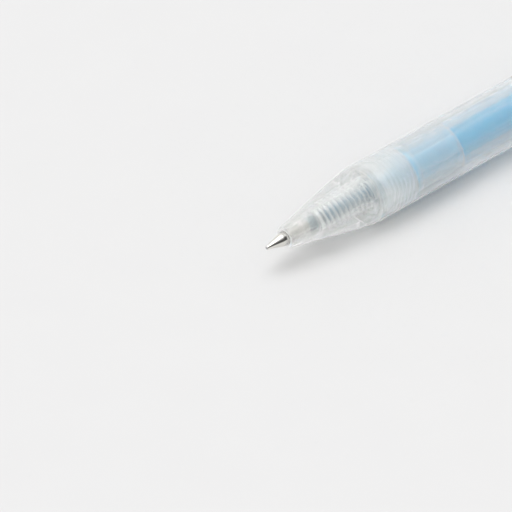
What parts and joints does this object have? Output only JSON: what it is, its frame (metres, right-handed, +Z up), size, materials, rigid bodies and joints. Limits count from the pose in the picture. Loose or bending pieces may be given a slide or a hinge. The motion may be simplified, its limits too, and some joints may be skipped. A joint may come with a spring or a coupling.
{
  "type": "gel pen",
  "caption": "Retractable gel pen with a clear frosted body, screw-off nose, spring-loaded refill, rotating-cam knock, push button and pocket clip.",
  "frame": {"origin": "on the desk under the middle of the pen's outer box", "axes": "+X along the pen from the writing ball to the push button, +Z up from the desk, the clip towards -Y"},
  "size_m": [0.1404, 0.0142, 0.0106],
  "materials": {
    "carbide": "polished tungsten carbide",
    "nickel_silver": "bright turned nickel silver",
    "spring_steel": "drawn stainless wire",
    "white_resin": "natural white translucent resin",
    "clear_tube": "clear polypropylene tube",
    "blue_ink": "light blue gel ink",
    "grease": "clear grease",
    "clear_nose": "clear moulded plastic, faintly frosted",
    "frosted_barrel": "frosted clear moulded plastic",
    "frosted_housing": "frosted clear moulded plastic",
    "white_acetal": "white acetal",
    "blue_button": "satin blue plastic",
    "frosted_clip": "frosted clear moulded plastic"
  },
  "bodies": {
    "housing": {"barrel": "frosted_barrel", "rear_housing": "frosted_housing", "cam_sleeve": "white_acetal"},
    "knock": {"push_button": "blue_button", "plunger": "white_acetal"},
    "refill": {"tip_socket": "nickel_silver", "tip_spring": "spring_steel", "tip_holder": "white_resin", "ink_tube": "clear_tube", "ink_column": "blue_ink", "ink_follower": "grease", "tail_plug": "white_resin"},
    "ball": {"writing_ball": "carbide"},
    "rotor": {"rotor_cam": "white_acetal"},
    "clip": {"clip": "frosted_clip"},
    "spring": {"return_spring": "spring_steel"},
    "nose": {"nose_cone": "clear_nose"}
  },
  "joints": [
    {"name": "knock", "type": "slide", "parent": "housing", "child": "knock", "axis": [1, 0, 0], "range_m": [-0.0012, 0.005]},
    {"name": "refill_travel", "type": "slide", "parent": "housing", "child": "refill", "axis": [1, 0, 0], "range_m": [-0.0012, 0.005], "deforming": ["return_spring"]},
    {"name": "rotor_turn", "type": "hinge", "parent": "refill", "child": "rotor", "pos_m": [-0.07025, 0.00176, 0.0053], "axis": [1, 0, 0], "range_deg": [-14.4, 60]},
    {"name": "ball_roll", "type": "hinge", "parent": "refill", "child": "ball", "pos_m": [-0.07, 0.00176, 0.0053], "axis": [0, 1, 0], "continuous": true},
    {"name": "clip_flex", "type": "hinge", "parent": "housing", "child": "clip", "pos_m": [0.05845, -0.00363, 0.00292], "axis": [0, -0.4037, 0.9149], "range_deg": [0, 5], "stiffness_Nm_per_rad": 2},
    {"name": "nose_travel", "type": "slide", "parent": "housing", "child": "spring", "axis": [-1, 0, 0], "range_m": [0, 0.0063], "deforming": ["return_spring"]},
    {"name": "nose_turn", "type": "hinge", "parent": "spring", "child": "nose", "pos_m": [-0.07025, 0.00176, 0.0053], "axis": [-1, 0, 0], "range_deg": [0, 2520]}
  ],
  "couplings": [
    {"joint": "refill_travel", "follows": "knock", "ratio": 1},
    {"joint": "rotor_turn", "follows": "knock", "rad_per_m": 209.44},
    {"joint": "nose_turn", "follows": "nose_travel", "rad_per_m": 6981.3}
  ]
}
